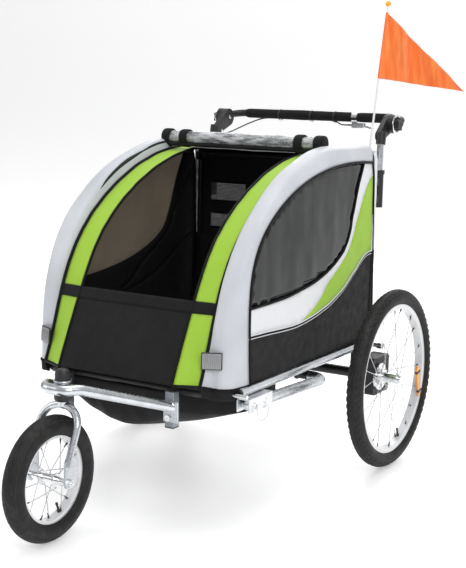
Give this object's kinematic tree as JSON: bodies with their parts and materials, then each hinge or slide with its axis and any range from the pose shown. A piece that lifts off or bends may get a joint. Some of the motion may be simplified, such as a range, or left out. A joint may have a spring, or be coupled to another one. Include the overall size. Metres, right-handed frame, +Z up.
{
  "type": "child bicycle trailer",
  "caption": "Covered child bicycle trailer with large rear wheels, swivelling front wheel on a U-shaped arm, stowed tow arm, rear push handle and safety flag.",
  "frame": {"origin": "on the ground, at the centre of the footprint", "axes": "+Z up, -Y towards the front wheel, +X towards the trailer's own left side"},
  "size_m": [0.8836, 1.5533, 1.292],
  "materials": {
    "steel_tube": "galvanised, satin",
    "post_steel": "dull zinc",
    "black_steel": "satin black",
    "chrome": "polished",
    "white_rim": "gloss silver white",
    "black_plastic": "matt",
    "tyre": "matt rubber",
    "foam": "closed-cell foam",
    "green_fabric": "coated woven polyester",
    "silver_fabric": "coated, slight sheen",
    "black_fabric": "coated woven polyester",
    "clear_film": "clear vinyl",
    "tinted_film": "tinted vinyl",
    "orange_reflector": "prismatic",
    "grey_reflector": "ribbed",
    "orange_flag": "thin glossy",
    "white_plastic": "gloss"
  },
  "bodies": {
    "chassis": {"floor_tubes": "steel_tube", "nose_tube": "black_steel", "rear_axle_tube": "black_steel", "wheel_brackets": "black_steel", "rear_axles": "chrome", "arm_posts": "post_steel", "jogger_arm": "steel_tube", "head_tube": "steel_tube", "tow_bracket": "steel_tube", "keeper_ring": "white_plastic", "fold_brackets": "post_steel", "frame_pins": "chrome", "footwell": "black_fabric", "seat": "black_fabric", "side_panel_left": "black_fabric", "side_panel_right": "black_fabric", "windows": "tinted_film", "front_panel": "black_fabric", "green_stripes": "green_fabric", "silver_bands": "silver_fabric", "roof_panel": "black_fabric", "rear_panel": "black_fabric", "front_reflectors": "grey_reflector"},
    "rear_frame": {"rear_frame_tubes": "black_steel", "handle_receivers": "black_plastic", "handle_stems": "steel_tube", "elbows": "black_plastic"},
    "hoop_frame": {"hoops": "black_steel", "rolled_cover": "clear_film", "roll_straps": "black_fabric"},
    "handlebar": {"handlebar_tube": "black_steel", "tilt_knobs": "black_plastic", "foam_grip": "foam", "brake_clamp": "chrome", "brake_cable": "black_plastic"},
    "brake_lever": {"brake_lever": "chrome"},
    "fork": {"fork": "steel_tube", "front_axle": "chrome", "head_cap": "black_plastic"},
    "front_wheel": {"tyre_front": "tyre", "rim_front": "white_rim", "spokes_front": "chrome", "hub_front": "chrome"},
    "rear_wheel_left": {"tyre_left": "tyre", "rim_left": "white_rim", "spokes_left": "chrome", "hub_left": "chrome", "reflector_left": "orange_reflector"},
    "rear_wheel_right": {"tyre_right": "tyre", "rim_right": "white_rim", "spokes_right": "chrome", "hub_right": "chrome", "reflector_right": "orange_reflector"},
    "tow_arm": {"tow_tube": "steel_tube", "tow_flex": "black_plastic", "hitch_tongue": "steel_tube"},
    "lock_knob_left": {"lock_knob_left": "chrome"},
    "lock_knob_right": {"lock_knob_right": "chrome"},
    "flag": {"flag_pole": "white_plastic", "flag": "orange_flag"}
  },
  "joints": [
    {"name": "frame_fold", "type": "hinge", "parent": "chassis", "child": "rear_frame", "pos_m": [0, 0.4355, 0.357], "axis": [1, 0, 0], "range_deg": [0, 80], "deforming": ["side_panel_left", "side_panel_right", "windows", "front_panel", "green_stripes", "silver_bands", "roof_panel", "rear_panel", "front_reflectors", "seat"]},
    {"name": "hoop_fold", "type": "hinge", "parent": "chassis", "child": "hoop_frame", "pos_m": [0, -0.3135, 0.354], "axis": [-1, 0, 0], "range_deg": [0, 42.4]},
    {"name": "handlebar_tilt", "type": "hinge", "parent": "rear_frame", "child": "handlebar", "pos_m": [0, 0.5705, 0.945], "axis": [1, 0, 0], "range_deg": [-90, 60], "deforming": ["brake_cable"]},
    {"name": "brake_lever_pull", "type": "hinge", "parent": "handlebar", "child": "brake_lever", "pos_m": [0.152, 0.6525, 0.933], "axis": [0, -1, 0], "range_deg": [0, 18], "stiffness_Nm_per_rad": 0.3, "springref_deg": -20.05},
    {"name": "flag_lift", "type": "slide", "parent": "rear_frame", "child": "flag", "axis": [0, 0.2092, 0.9779], "range_m": [0, 0.09]},
    {"name": "fork_swivel", "type": "hinge", "parent": "chassis", "child": "fork", "pos_m": [0, -0.5775, 0], "axis": [0, 0, 1], "continuous": true},
    {"name": "front_wheel_spin", "type": "hinge", "parent": "fork", "child": "front_wheel", "pos_m": [0, -0.6265, 0.15], "axis": [1, 0, 0], "continuous": true},
    {"name": "rear_wheel_left_spin", "type": "hinge", "parent": "chassis", "child": "rear_wheel_left", "pos_m": [0.41, 0.3555, 0.25], "axis": [1, 0, 0], "continuous": true},
    {"name": "rear_wheel_right_spin", "type": "hinge", "parent": "chassis", "child": "rear_wheel_right", "pos_m": [-0.41, 0.3555, 0.25], "axis": [1, 0, 0], "continuous": true},
    {"name": "tow_arm_swing", "type": "hinge", "parent": "chassis", "child": "tow_arm", "pos_m": [0.312, -0.2595, 0.294], "axis": [-1, 0, 0], "range_deg": [0, 177]},
    {"name": "lock_knob_left_pull", "type": "slide", "parent": "chassis", "child": "lock_knob_left", "axis": [1, 0, 0], "range_m": [0, 0.008], "stiffness_N_per_m": 600, "springref_m": -0.01},
    {"name": "lock_knob_right_pull", "type": "slide", "parent": "chassis", "child": "lock_knob_right", "axis": [-1, 0, 0], "range_m": [0, 0.008], "stiffness_N_per_m": 600, "springref_m": -0.01}
  ],
  "couplings": [
    {"joint": "hoop_fold", "follows": "frame_fold", "ratio": 0.53}
  ]
}
